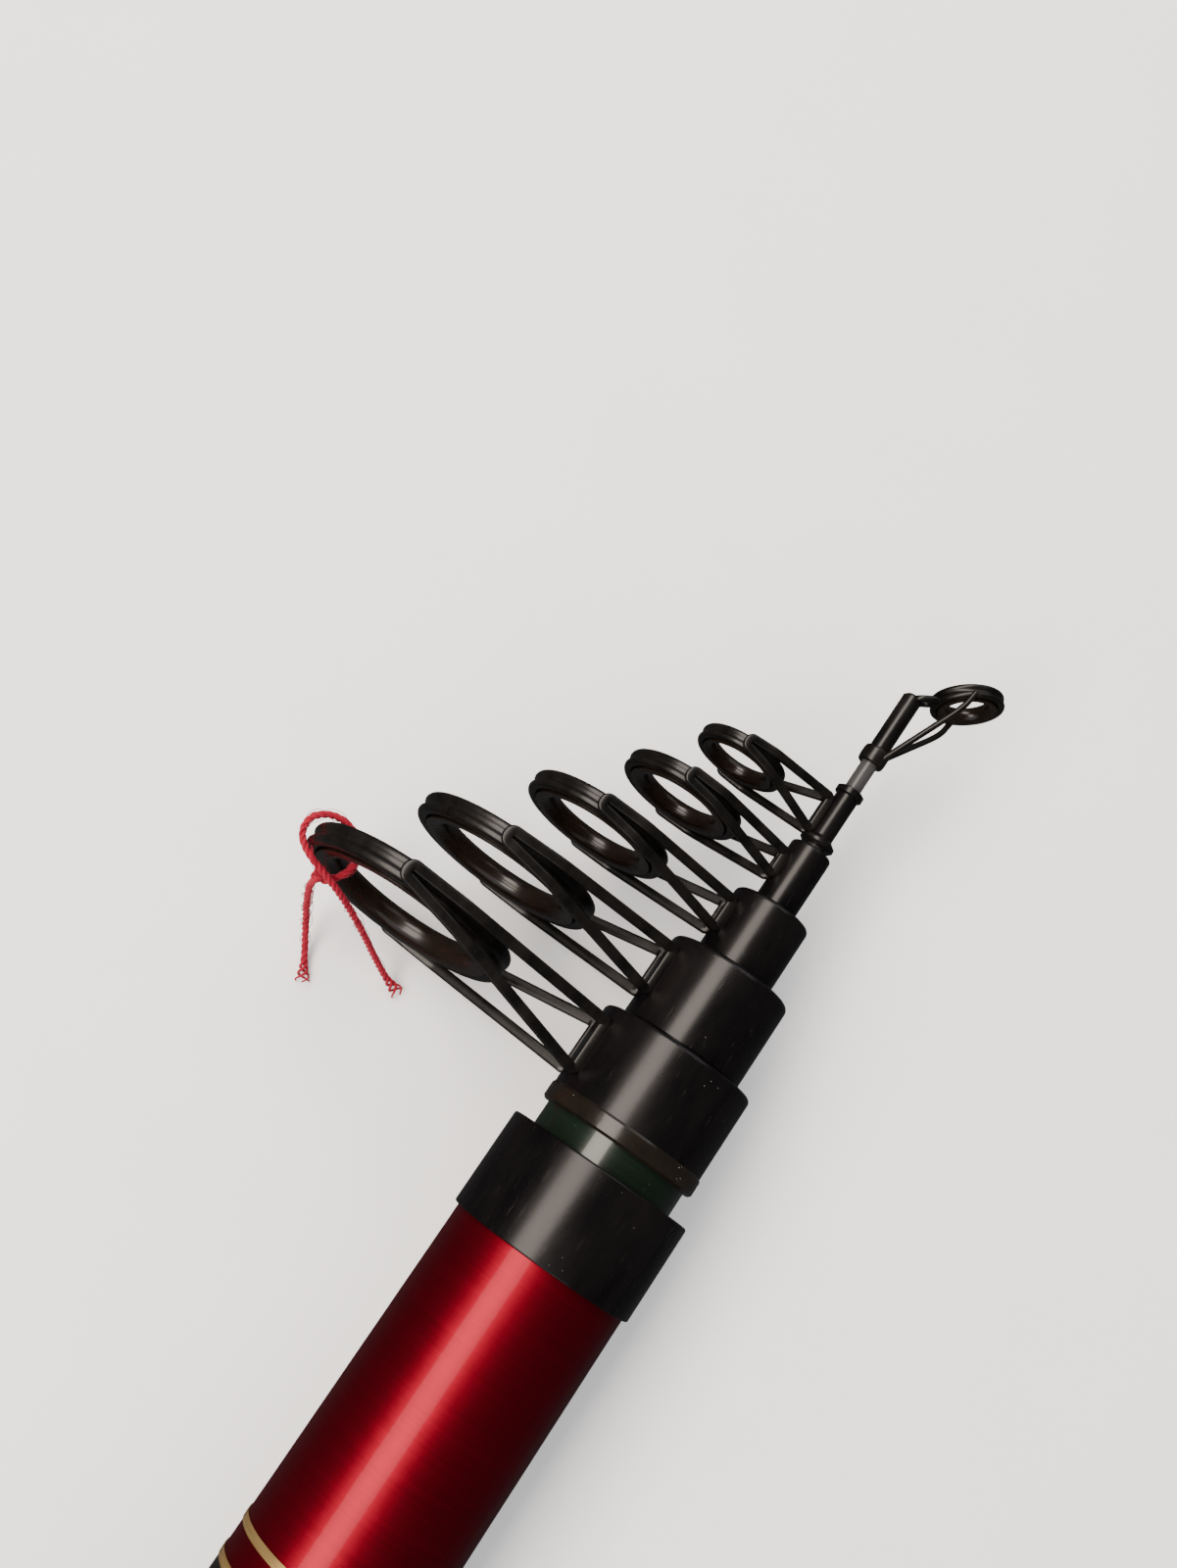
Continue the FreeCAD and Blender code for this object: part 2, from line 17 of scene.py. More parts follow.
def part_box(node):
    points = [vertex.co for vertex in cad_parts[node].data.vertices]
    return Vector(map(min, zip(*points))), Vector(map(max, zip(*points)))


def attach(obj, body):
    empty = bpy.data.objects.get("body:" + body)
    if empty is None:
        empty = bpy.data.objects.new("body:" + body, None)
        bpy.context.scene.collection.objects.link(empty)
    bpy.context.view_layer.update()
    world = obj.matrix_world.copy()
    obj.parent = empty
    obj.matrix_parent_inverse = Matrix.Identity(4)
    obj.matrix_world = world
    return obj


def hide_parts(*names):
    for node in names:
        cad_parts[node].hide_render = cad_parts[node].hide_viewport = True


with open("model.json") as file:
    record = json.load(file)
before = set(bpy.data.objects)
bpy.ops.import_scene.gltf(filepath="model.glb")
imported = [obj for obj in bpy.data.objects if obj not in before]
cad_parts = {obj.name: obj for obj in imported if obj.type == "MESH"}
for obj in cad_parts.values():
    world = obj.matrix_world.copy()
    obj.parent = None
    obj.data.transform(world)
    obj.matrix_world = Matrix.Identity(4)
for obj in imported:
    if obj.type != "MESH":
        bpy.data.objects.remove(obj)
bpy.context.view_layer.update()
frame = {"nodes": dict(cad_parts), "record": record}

MM = 0.001
nodes = frame["nodes"]
record = frame["record"]
rng = np.random.default_rng(7)

# %% [markdown]
# ## The camera
# The rod is seen from above, leaning a little back along it, and turned so that it crosses the view from
# the lower left to the upper right. A camera looks along its own -Z, so three unit vectors are enough:
# where it looks, which way is up in the view, and their cross product, the view's right. They become the
# columns of its matrix, which is simpler than working out three Euler angles.

# %% Place the camera
MOUTH_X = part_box("mouth_collar")[1][0]
TILT = math.radians(12.0)
ROLL = math.radians(35.3)
CAMERA_BACK = -2.95 * MM
CAMERA_SIDE = 27.3 * MM
CAMERA_HEIGHT = 187.6 * MM


def make_camera():
    forward = Vector((math.sin(TILT), 0, -math.cos(TILT)))
    along_rod = Vector((math.cos(TILT), 0, math.sin(TILT)))
    up = along_rod * math.cos(ROLL) + Vector((0, 1, 0)) * math.sin(ROLL)
    right = forward.cross(up)
    lens = bpy.data.cameras.new("camera")
    lens.sensor_fit = "VERTICAL"
    lens.sensor_height = 36.0
    lens.lens = 36.0
    lens.clip_start = 0.005
    camera = bpy.data.objects.new("camera", lens)
    bpy.context.scene.collection.objects.link(camera)
    place = Matrix((right, up, -forward)).transposed().to_4x4()
    place.translation = Vector((MOUTH_X + CAMERA_BACK, CAMERA_SIDE, CAMERA_HEIGHT))
    camera.matrix_world = place
    bpy.context.scene.camera = camera
    return camera


camera = make_camera()
print("camera at", [round(v, 4) for v in camera.location])

# %% [markdown]
# ## Surfaces from numbers
# Every new shape here is a grid of points bent into a surface: one direction of the grid goes round a
# profile, the other goes along a path or round an axis. Numpy works the whole grid out at once, and
# from_pydata turns it into a mesh. Each direction is either closed on itself or left open, and an open
# tube gets a point at each end to close it.

# %% Grid to mesh
def grid_faces(rows, columns, wrap_rows, wrap_columns, start=0):
    """Quads of a grid: point (i, j) is joined to its neighbours (i + 1, j) and (i, j + 1)."""
    i = np.arange(rows if wrap_rows else rows - 1)[:, None]
    j = np.arange(columns if wrap_columns else columns - 1)[None, :]
    next_i = (i + 1) % rows
    next_j = (j + 1) % columns
    corners = [i * columns + j, next_i * columns + j, next_i * columns + next_j, i * columns + next_j]
    return start + np.stack(np.broadcast_arrays(*corners), axis=-1).reshape(-1, 4)


class Shell:
    """Points and faces gathered from several surfaces, which become one mesh."""

    def __init__(self):
        self.points = []
        self.faces = []
        self.count = 0

    def add(self, grid, wrap_rows=True, wrap_columns=True):
        """Adds a grid of points, rows by columns by xyz; rows left open are closed by a middle point."""
        rows, columns, _ = grid.shape
        start = self.count
        self.points.append(grid.reshape(-1, 3))
        self.faces += grid_faces(rows, columns, wrap_rows, wrap_columns, start).tolist()
        self.count += rows * columns
        if not wrap_rows:
            self.close(grid[0], start, True)
            self.close(grid[-1], start + (rows - 1) * columns, False)

    def close(self, ring, start, first):
        """Closes a ring of points with a fan of triangles round its mean point."""
        self.points.append(ring.mean(axis=0)[None, :])
        size = len(ring)
        for k in range(size):
            edge = [start + k, start + (k + 1) % size]
            self.faces.append((edge if first else edge[::-1]) + [self.count])
        self.count += 1

    def make(self, name, body, replaced=()):
        """Makes the mesh, rides it on a body and hides the parts that it stands in for."""
        mesh = bpy.data.meshes.new(name)
        mesh.from_pydata(np.concatenate(self.points).tolist(), [], self.faces)
        mesh.validate()
        mesh.shade_smooth()
        piece = bpy.data.objects.new(name, mesh)
        bpy.context.scene.collection.objects.link(piece)
        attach(piece, body)
        if replaced:
            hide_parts(*replaced)
        print(name, "has", len(mesh.polygons), "faces")
        return piece


# %% [markdown]
# ## The red thread
# A length of twisted red yarn is tied round the rim of the largest ring. It goes round the rim once, is
# knotted where it crosses itself, and its two tails hang down to the surface that the rod lies on. Its
# middle line is a smooth NURBS curve; the route's points pull the curve towards themselves. The yarn's
# strands are then wound round that line. The line comes first because every strand follows it.

# %% The thread's middle line
THREAD_R = 0.45 * MM
THREAD_ROUTE_MM = [
    (3.6, 31.7, -15.9),
    (4.0, 33.4, -15.4),
    (4.7, 35.1, -13.6),
    (5.6, 37.0, -10.8),
    (6.8, 39.3, -7.0),
    (7.9, 41.8, -3.0),
    (8.8, 44.3, 0.6),
    (9.5, 47.0, 2.0),
    (10.3, 49.7, 2.4),
    (11.6, 51.5, 2.6),
    (13.6, 51.9, 2.7),
    (15.3, 50.6, 2.2),
    (16.0, 48.6, 1.3),
    (15.5, 46.4, 0.6),
    (13.8, 44.7, 0.2),
    (11.5, 44.4, 0.0),
    (9.7, 45.4, -0.1),
    (8.8, 47.0, -0.3),
    (8.0, 47.8, -3.0),
    (7.0, 47.7, -6.4),
    (5.4, 47.1, -10.4),
    (3.2, 45.8, -13.8),
    (0.6, 44.1, -15.5),
    (-2.1, 42.5, -15.9),
]


def smooth_line(route):
    """The points of a NURBS spline of order 3 whose control points are the route's points."""
    curve = bpy.data.curves.new("line", "CURVE")
    curve.dimensions = "3D"
    spline = curve.splines.new("NURBS")
    spline.points.add(len(route) - 1)
    spline.points.foreach_set("co", [v for point in route for v in (*point, 1.0)])
    spline.order_u = 3
    spline.use_endpoint_u = True
    spline.resolution_u = 24
    holder = bpy.data.objects.new("line", curve)
    mesh = bpy.data.meshes.new_from_object(holder)
    line = np.array([v.co for v in mesh.vertices])
    bpy.data.objects.remove(holder)
    bpy.data.meshes.remove(mesh)
    return line


def lengths_along(line):
    """The length run at each point of a line, from its first point."""
    steps = np.linalg.norm(np.diff(line, axis=0), axis=1)
    return np.concatenate([[0.0], np.cumsum(steps)])


def evenly(line, step):
    """The same line with its points a constant step apart, found by linear interpolation."""
    run = lengths_along(line)
    wanted = np.linspace(0.0, run[-1], max(3, int(round(run[-1] / step)) + 1))
    return np.stack([np.interp(wanted, run, line[:, k]) for k in range(3)], axis=1)


route = [(MOUTH_X + x * MM, y * MM, z * MM) for x, y, z in THREAD_ROUTE_MM]
thread_line = evenly(smooth_line(route), 0.2 * MM)

# %% [markdown]
# ### Frames along a line
# To wind a strand round a line, each point of the line needs two directions across it. Turning them as
# little as possible from point to point keeps the strand from twisting by itself: each new direction is
# the last one, less its part along the new tangent.

# %% Frames and tubes
def frames(line):
    """Two unit directions across the line that turn as little as possible along it: each is the one before
    it, less its part along the new tangent. The first starts from +Z."""
    tangent = np.gradient(line, axis=0)
    tangent /= np.linalg.norm(tangent, axis=1)[:, None]
    side = np.empty_like(line)
    last = np.array([0.0, 0.0, 1.0])
    for k, t in enumerate(tangent):
        last = last - t * np.dot(last, t)
        last /= np.linalg.norm(last)
        side[k] = last
    return side, np.cross(tangent, side)


def tube(line, radius, sides):
    """A round tube: line + radius * (side * cos a + other * sin a), with a running once round."""
    side, other = frames(line)
    angle = np.linspace(0, 2 * np.pi, sides, endpoint=False)
    radius = np.broadcast_to(np.asarray(radius, float), (len(line),))
    across = side[:, None, :] * np.cos(angle)[None, :, None]
    across = across + other[:, None, :] * np.sin(angle)[None, :, None]
    return line[:, None, :] + across * radius[:, None, None]


def wound(line, radius, pitch, phase, spread=0.0):
    """A helix round a line: one turn for each pitch of length, at the radius plus a spread along the line."""
    side, other = frames(line)
    turn = 2 * np.pi * lengths_along(line) / pitch + phase
    out = np.broadcast_to(np.asarray(radius + spread, float), (len(line),))
    return line + (side * np.cos(turn)[:, None] + other * np.sin(turn)[:, None]) * out[:, None]


# %% [markdown]
# ### Yarn with frayed ends
# The yarn is three strands, each a tube on a helix with a pitch of about five strand widths, and a few
# loose fibres stand off them. Towards the two cut ends the strands open like a fan, so the helix's radius
# grows over the last few millimetres. The tubes are thin, so a ring of eight points is round enough.

# %% Wind the yarn
STRANDS = 3
STRAND_R = 0.235 * MM
STRAND_OFFSET = 0.235 * MM
YARN_PITCH = 2.6 * MM
FRAY_LENGTH = 3.2 * MM
FRAY_SPREAD = 0.75 * MM
LOOSE_FIBRES = 26
FIBRE_R = 0.035 * MM


def make_thread():
    shell = Shell()
    run = lengths_along(thread_line)
    to_end = np.minimum(run, run[-1] - run)
    opening = np.clip(1 - to_end / FRAY_LENGTH, 0, 1) ** 1.6
    for k in range(STRANDS):
        phase = 2 * np.pi * k / STRANDS
        strand = wound(thread_line, STRAND_OFFSET, YARN_PITCH, phase, opening * FRAY_SPREAD)
        strand[:, 2] = np.maximum(strand[:, 2], floor_z + STRAND_R)
        radius = STRAND_R * (1 - 0.55 * opening)
        shell.add(tube(strand, radius, 8), wrap_rows=False)
    for k in range(LOOSE_FIBRES):
        start = rng.integers(5, len(thread_line) - 45)
        part = thread_line[start:start + 40]
        away = np.sin(np.linspace(0, np.pi, len(part))) * rng.uniform(0.1, 0.45) * MM
        fibre = wound(part, THREAD_R * 0.95, YARN_PITCH * rng.uniform(1.2, 3.0), rng.uniform(0, 6.3), away)
        fibre[:, 2] = np.maximum(fibre[:, 2], floor_z + FIBRE_R)
        shell.add(tube(fibre, FIBRE_R, 5), wrap_rows=False)
    return shell.make("yarn", "section_1", ["red_thread"])


floor_z = min(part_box("rear_grip")[0][2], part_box("red_thread")[0][2])
yarn = make_thread()

# %% [markdown]
# ### The knot
# An overhand knot pulled tight is close to a trefoil: a closed curve that winds twice round its middle and
# crosses itself three times. The yarn's own strands are wound along it, and it is small enough for its
# turns to press into each other.

# %% Tie the knot
KNOT_SIZE = 0.34 * MM
KNOT_POINTS = 96


def make_knot():
    """x = sin t + 2 sin 2t, y = cos t - 2 cos 2t, z = -1.3 sin 3t, scaled to the knot's size."""
    low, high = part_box("thread_knot")
    middle = (np.array(low) + np.array(high)) / 2
    t = np.linspace(0, 2 * np.pi, KNOT_POINTS, endpoint=False)
    x = np.sin(t) + 2 * np.sin(2 * t)
    y = np.cos(t) - 2 * np.cos(2 * t)
    trefoil = np.stack([x, y, -1.3 * np.sin(3 * t)], axis=1)
    line = middle + trefoil * KNOT_SIZE * [0.8, 1.0, 1.0]
    line = np.concatenate([line, line[:1]])
    shell = Shell()
    for k in range(STRANDS):
        strand = wound(line, STRAND_OFFSET * 0.8, YARN_PITCH, 2 * np.pi * k / STRANDS)
        shell.add(tube(strand, STRAND_R * 0.9, 8), wrap_rows=False)
    return shell.make("yarn_knot", "section_1", ["thread_knot"])


knot = make_knot()

# %% [markdown]
# ## Guide frames
# A guide is a black metal hoop that grips the ceramic ring, and two legs made of flat strip. Each leg is
# one strip folded into a narrow V. The fold wraps the hoop's edge, the two arms run down to the sleeve over
# a slight knee, and a foot lies along the sleeve between them. The CAD has the same sizes with square
# edges. Here the strip gets its rounded edges and its true bends, because its edges catch the light.

# %% Profiles and outlines
def superellipse(half_width, half_height, power, count):
    """|x / half_width| ** power + |y / half_height| ** power = 1, walked anticlockwise from +x."""
    a = np.linspace(0, 2 * np.pi, count, endpoint=False)
    x = np.sign(np.cos(a)) * np.abs(np.cos(a)) ** (2 / power) * half_width
    y = np.sign(np.sin(a)) * np.abs(np.sin(a)) ** (2 / power) * half_height
    return np.stack([x, y], axis=1)


def rounded_loop(corners, radii, step=0.12 * MM):
    """A closed line of straight runs joined by tangent arcs of the given radii at its corners."""
    corners = [np.array(c, float) for c in corners]
    pieces = []
    for k, corner in enumerate(corners):
        back = corners[k - 1] - corner
        ahead = corners[(k + 1) % len(corners)] - corner
        back /= np.linalg.norm(back)
        ahead /= np.linalg.norm(ahead)
        half = math.acos(float(np.clip(np.dot(back, ahead), -1, 1))) / 2
        reach = radii[k] / math.tan(half)
        centre = corner + (back + ahead) / np.linalg.norm(back + ahead) * radii[k] / math.sin(half)
        start, end = corner + back * reach - centre, corner + ahead * reach - centre
        t = np.linspace(0, 1, 13)[:, None]
        swing = math.pi - 2 * half
        arc = (np.sin((1 - t) * swing) * start + np.sin(t * swing) * end) / math.sin(swing)
        pieces.append(centre + arc)
    line = np.concatenate(pieces + [pieces[0][:1]])
    return evenly(line, step)[:-1]


def swept_strip(line, facing, profile):
    """A profile carried round a closed line. Its y is along the facing direction, less the part that lies
    along the line; its x is across both."""
    tangent = np.roll(line, -1, axis=0) - np.roll(line, 1, axis=0)
    tangent /= np.linalg.norm(tangent, axis=1)[:, None]
    normal = facing - tangent * (tangent @ facing)[:, None]
    normal /= np.linalg.norm(normal, axis=1)[:, None]
    across = np.cross(normal, tangent)
    wide = across[:, None, :] * profile[None, :, :1]
    return line[:, None, :] + wide + normal[:, None, :] * profile[None, :, 1:]


def turned(profile, around=96, centre=(0, 0, 0), turn=None):
    """A closed (x, radius) profile carried round the X axis, then turned and moved to its centre."""
    a = np.linspace(0, 2 * np.pi, around, endpoint=False)
    x = np.broadcast_to(profile[None, :, 0], (around, len(profile)))
    y = np.cos(a)[:, None] * profile[None, :, 1]
    z = np.sin(a)[:, None] * profile[None, :, 1]
    grid = np.stack([x, y, z], axis=2)
    if turn is not None:
        grid = grid @ np.array(turn).T
    return grid + np.array(centre)


# %% [markdown]
# The hoop's section is a rounded square with a shallow groove pressed round its outside, which leaves the
# two bright ridges. The groove's depth follows a bell curve: depth * exp(-(x / width) ** 2).

# %% The hoop's section
def hoop_half(ring_r):
    """Half of a hoop's width along the rod: a larger hoop is pressed from wider sheet."""
    return 0.6 * MM + 0.06 * ring_r


def hoop_section(ring_r, count=48):
    inner = ring_r - (0.5 * MM + 0.10 * ring_r)
    half = hoop_half(ring_r)
    section = superellipse(half, (ring_r - inner) / 2, 3.2, count)
    section[:, 1] += (ring_r + inner) / 2
    outside = np.clip((section[:, 1] - inner) / (ring_r - inner), 0, 1) ** 2
    section[:, 1] -= 0.42 * half * np.exp(-(section[:, 0] / (0.30 * half)) ** 2) * outside
    return section


def turn_y(angle):
    """A turn about +Y as a matrix."""
    return np.array(Matrix.Rotation(angle, 3, "Y"))


# %% Build one guide frame
GUIDES = {
    "section_1": dict(ring_r=14.2, offset=36.6, plane_x=12.3, bent=8.0, sleeve_r=10.25, feet=(7.3, 14.1)),
    "section_2": dict(ring_r=12.4, offset=30.0, plane_x=23.2, bent=4.5, sleeve_r=8.10, feet=(19.9, 25.8)),
    "section_3": dict(ring_r=9.75, offset=23.5, plane_x=33.4, bent=4.5, sleeve_r=5.15, feet=(31.0, 35.1)),
    "section_4": dict(ring_r=8.1, offset=17.1, plane_x=42.6, bent=4.5, sleeve_r=2.75, feet=(40.7, 44.0)),
    "floating_guide": dict(ring_r=6.0, offset=13.7, plane_x=50.8, bent=4.5, sleeve_r=1.50, feet=(48.2, 53.2)),
}
APEX_PART = 0.06
KNEE_PART = 0.45
CLEAR_OF_TIP = 1.27 * MM


def leg_line(guide, side, width, sheet):
    """The middle line of one leg: up over a knee, round the hoop's edge, down the other arm and along the
    foot."""
    ring_r, offset, sleeve_r = guide["ring_r"] * MM, guide["offset"] * MM, guide["sleeve_r"] * MM
    apex_y, apex_z = offset + APEX_PART * ring_r, ring_r + 0.45 * sheet
    middle_x = MOUTH_X + guide["plane_x"] * MM + side * apex_z * math.sin(math.radians(guide["bent"]))
    knee_y = offset - KNEE_PART * ring_r
    knee_z = ring_r * math.sqrt(1 - KNEE_PART ** 2) + 0.6 * sheet
    foot_z = 0.42 * sleeve_r
    foot_y = max(math.sqrt(sleeve_r ** 2 - foot_z ** 2) + 0.25 * sheet, CLEAR_OF_TIP + width / 2)
    share = (apex_y - knee_y) / (apex_y - foot_y)
    arms = []
    for foot_x, half_bend in zip(guide["feet"], (-width / 2, width / 2)):
        foot_x = MOUTH_X + foot_x * MM
        apex_x = middle_x + half_bend
        arms.append([(foot_x, foot_y, side * foot_z),
                     (apex_x + (foot_x - apex_x) * share, knee_y, side * knee_z),
                     (apex_x, apex_y + width / 2, side * apex_z)])
    radii = [0.45 * width, 0.5 * ring_r, 0.49 * width]
    return rounded_loop(arms[0] + arms[1][::-1], radii + radii[::-1])


def make_guide_frame(body, guide):
    ring_r = guide["ring_r"] * MM
    centre = np.array([MOUTH_X + guide["plane_x"] * MM, guide["offset"] * MM, 0.0])
    shell = Shell()
    shell.add(turned(hoop_section(ring_r)[::-1], 128, centre, turn_y(math.radians(guide["bent"]))))
    width = 0.85 * MM + 0.04 * ring_r
    sheet = 0.75 * MM + 0.03 * ring_r
    strip = superellipse(width / 2, sheet / 2, 4.0, 20)
    for side in (1, -1):
        facing = np.array([0.0, 0.0, float(side)])
        shell.add(swept_strip(leg_line(guide, side, width, sheet), facing, strip))
    node = "floating_guide_frame" if body == "floating_guide" else body + "_guide_frame"
    return shell.make(body + "_frame", body, [node])


guide_frames = [make_guide_frame(body, guide) for body, guide in GUIDES.items()]

# %% Build the tip-top's frame
TIP_RING_R = 4.7 * MM
TIP_RING_OFFSET = 7.2 * MM
TIP_LEAN = math.radians(31.0)
TIP_BENT = math.radians(12.0)
BRACE_R = 0.4 * MM
NECK_HALF_WIDTH = 1.9 * MM
NECK_HALF_HEIGHT = 2.0 * MM
NECK_HOLE_Y = -1.75 * MM
NECK_HOLE_R = 0.85 * MM
NECK_RINGS = ((0.0, -1), (0.15, -1), (0.85, -1), (1.0, -0.55), (1.0, 0.55), (0.85, 1), (0.15, 1), (0.0, 1))


def make_tip_frame():
    low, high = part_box("tip_top_tube")
    root = np.array([high[0] - 0.5 * MM, 0, 0])
    lean = np.array(Matrix.Rotation(TIP_LEAN, 3, "Z"))
    turn = lean @ turn_y(TIP_BENT)
    centre = root + lean @ np.array([0, -TIP_RING_OFFSET, 0])
    shell = Shell()
    shell.add(turned(hoop_section(TIP_RING_R)[::-1], 96, centre, turn))
    shell.add(neck_plate(root, lean, hoop_half(TIP_RING_R)))
    for side in (1, -1):
        tab = centre + turn @ np.array([-0.3 * MM, 0.4 * MM, side * (TIP_RING_R - 0.3 * MM)])
        bend = tab + np.array([-2.6, 0.3, 0]) * MM
        foot = np.array([low[0] + 1.2 * MM, -0.9 * MM, side * 1.15 * MM])
        shell.add(tube(bent_wire(tab, bend, foot), BRACE_R, 12), wrap_rows=False)
    band = superellipse(1.05 * MM, 0.25 * MM, 3.0, 24) + [low[0] + 1.05 * MM, 1.52 * MM]
    shell.add(turned(band[::-1], 40))
    return shell.make("tip_frame", "tip", ["tip_top_frame"])


def bent_wire(start, bend, end):
    """A straight run, a soft bend and a straight run. The bend is a quadratic Bezier curve whose middle point
    is the sharp corner: early * (1 - t) ** 2 + 2 * bend * t * (1 - t) + late * t ** 2."""
    t = np.linspace(0, 1, 40)[:, None]
    early, late = bend + (start - bend) * 0.35, bend + (end - bend) * 0.22
    first = start + (early - start) * np.linspace(0, 1, 10)[:, None]
    last = late + (end - late) * np.linspace(0, 1, 24)[:, None]
    middle = early * (1 - t) ** 2 + 2 * bend * t * (1 - t) + late * t ** 2
    return evenly(np.concatenate([first[:-1], middle, last[1:]]), 0.15 * MM)


def neck_plate(root, lean, half):
    """A plate with a round hole: rings of points go from the hole's edge, a circle, out to the plate's
    edge, round it and back under the plate. Each ring is hole * (1 - share) + edge * share."""
    a = np.linspace(0, 2 * np.pi, 48, endpoint=False)
    hole = np.stack([NECK_HOLE_R * np.cos(a), NECK_HOLE_R * np.sin(a)], axis=1)
    edge = superellipse(NECK_HALF_WIDTH, NECK_HALF_HEIGHT, 3.0, 48)
    rings = []
    for share, x in NECK_RINGS:
        flat = hole * (1 - share) + edge * share
        rings.append(np.stack([np.full(48, x * 0.42 * half), flat[:, 1] + NECK_HOLE_Y, flat[:, 0]], axis=1))
    return np.stack(rings) @ lean.T + root


tip_frame = make_tip_frame()

# %% [markdown]
# ## Foam grips
# The two grips are turned from closed-cell foam. Foam is soft, so its ends are rounded over and its
# surface isn't dead straight: it swells and dips by a tenth of a millimetre, which three slow sine waves
# along and round the grip give. A grip stays a closed tube, with its bore on the blank.

# %% Turn the grips
GRIP_NODES = {"rear_grip": (16.4, 16.4), "fore_grip": (16.4, 13.4)}
NECK_LENGTH = 40 * MM
GRIP_AROUND = 160
WAVE = 0.07 * MM


def make_grip(node, radii):
    """Outer radius + WAVE * three sines; the ends are quarter rounds and the bore is a plain taper."""
    low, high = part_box(node)
    start, end = low[0], high[0]
    rear_r, front_r = radii[0] * MM - 2 * WAVE, radii[1] * MM - 2 * WAVE
    edge = 1.6 * MM
    bend = np.linspace(0, np.pi / 2, 9)
    x_rear = start + edge * (1 - np.cos(bend))
    x_front = end - edge * (1 - np.cos(bend[::-1]))
    x_middle = np.linspace(start + edge, end - edge, 120)[1:-1]
    x_outer = np.concatenate([x_rear, x_middle, x_front])
    round_off = edge * (1 - np.sin(bend))
    drop = np.concatenate([round_off, np.zeros(len(x_middle)), round_off[::-1]])
    slope = np.clip((x_outer - (end - NECK_LENGTH)) / NECK_LENGTH, 0, 1)
    slope = slope * slope * (3 - 2 * slope)
    outer = rear_r + (front_r - rear_r) * slope - drop
    bore_x = np.array([end, end, start, start])
    bore_r = bore_radius(bore_x) + np.array([1.2, 0.0, 0.0, 1.2]) * MM
    profile = np.stack([np.concatenate([x_outer, bore_x]), np.concatenate([outer, bore_r])], axis=1)
    grid = turned(profile[::-1], GRIP_AROUND)
    x = grid[..., 0]
    angle = np.arctan2(grid[..., 2], grid[..., 1])
    radius = np.hypot(grid[..., 1], grid[..., 2])
    wave = np.sin(x / (9 * MM) + 2 * angle)
    wave += np.sin(x / (4.1 * MM) - 3 * angle)
    wave += np.sin(x / (15 * MM) + 5 * angle)
    outside = np.clip((radius - bore_radius(x) - 0.6 * MM) / (1.0 * MM), 0, 1)
    grow = 1 + wave * WAVE * 0.5 * outside / radius
    grid[..., 1] *= grow
    grid[..., 2] *= grow
    shell = Shell()
    shell.add(grid)
    grip = shell.make(node + "_foam", "butt", [node])
    return grip


def bore_radius(x):
    """The butt's outer radius: it falls by a quarter of a millimetre in each 100 mm towards the mouth."""
    return 11.5 * MM + (MOUTH_X - x) * 0.0025


grips = [make_grip(node, radii) for node, radii in GRIP_NODES.items()]

# %% [markdown]
# ## Shader arithmetic
# A finish is a small sum: dust plus streaks times a highlight. Written as a node tree by hand, each sum
# is a page of nodes, so a Signal wraps one socket and lets Python's own operators add the Math nodes.
# Any other node is added by Signal.node, which takes its type, its settings, and what goes into it.

# %% Signals
class Signal:
    """One socket of a material's node tree; arithmetic on signals adds Math nodes."""

    def __init__(self, tree, socket=None):
        self.tree = tree
        self.socket = socket

    def node(self, kind, inputs=None, out=0, **settings):
        """Adds a node: its settings first, then the values or links of its sockets, by name or number."""
        made = self.tree.nodes.new(kind)
        for key, value in settings.items():
            if key == "stops":
                self.set_stops(made.color_ramp, value)
            else:
                setattr(made, key, value)
        for key, value in (inputs or {}).items():
            socket = made.inputs[key]
            if isinstance(value, Signal):
                self.tree.links.new(value.socket, socket)
            else:
                socket.default_value = value
        return Signal(self.tree, made.outputs[out])

    def set_stops(self, ramp, stops):
        """A ramp has two stops at first; the rest are added."""
        for _ in range(len(stops) - 2):
            ramp.elements.new(0.5)
        for element, (place, value) in zip(ramp.elements, stops):
            element.position = place
            element.color = value if hasattr(value, "__len__") else (value, value, value, 1)

    def math(self, operation, *values):
        return self.node("ShaderNodeMath", dict(enumerate(values)), operation=operation)

    def __add__(self, other):
        return self.math("ADD", self, other)

    def __mul__(self, other):
        return self.math("MULTIPLY", self, other)

    def __sub__(self, other):
        return self.math("SUBTRACT", self, other)

    def __rsub__(self, other):
        return self.math("SUBTRACT", other, self)

    __radd__ = __add__
    __rmul__ = __mul__

    def clamp(self):
        return self.node("ShaderNodeClamp", {0: self})

    def mix(self, low, high):
        """The colour low where this signal is 0 and high where it is 1."""
        return self.node("ShaderNodeMix", {0: self, 6: low, 7: high}, out=2, data_type="RGBA")

    def ramp(self, *stops):
        return self.node("ShaderNodeValToRGB", {0: self}, stops=stops)


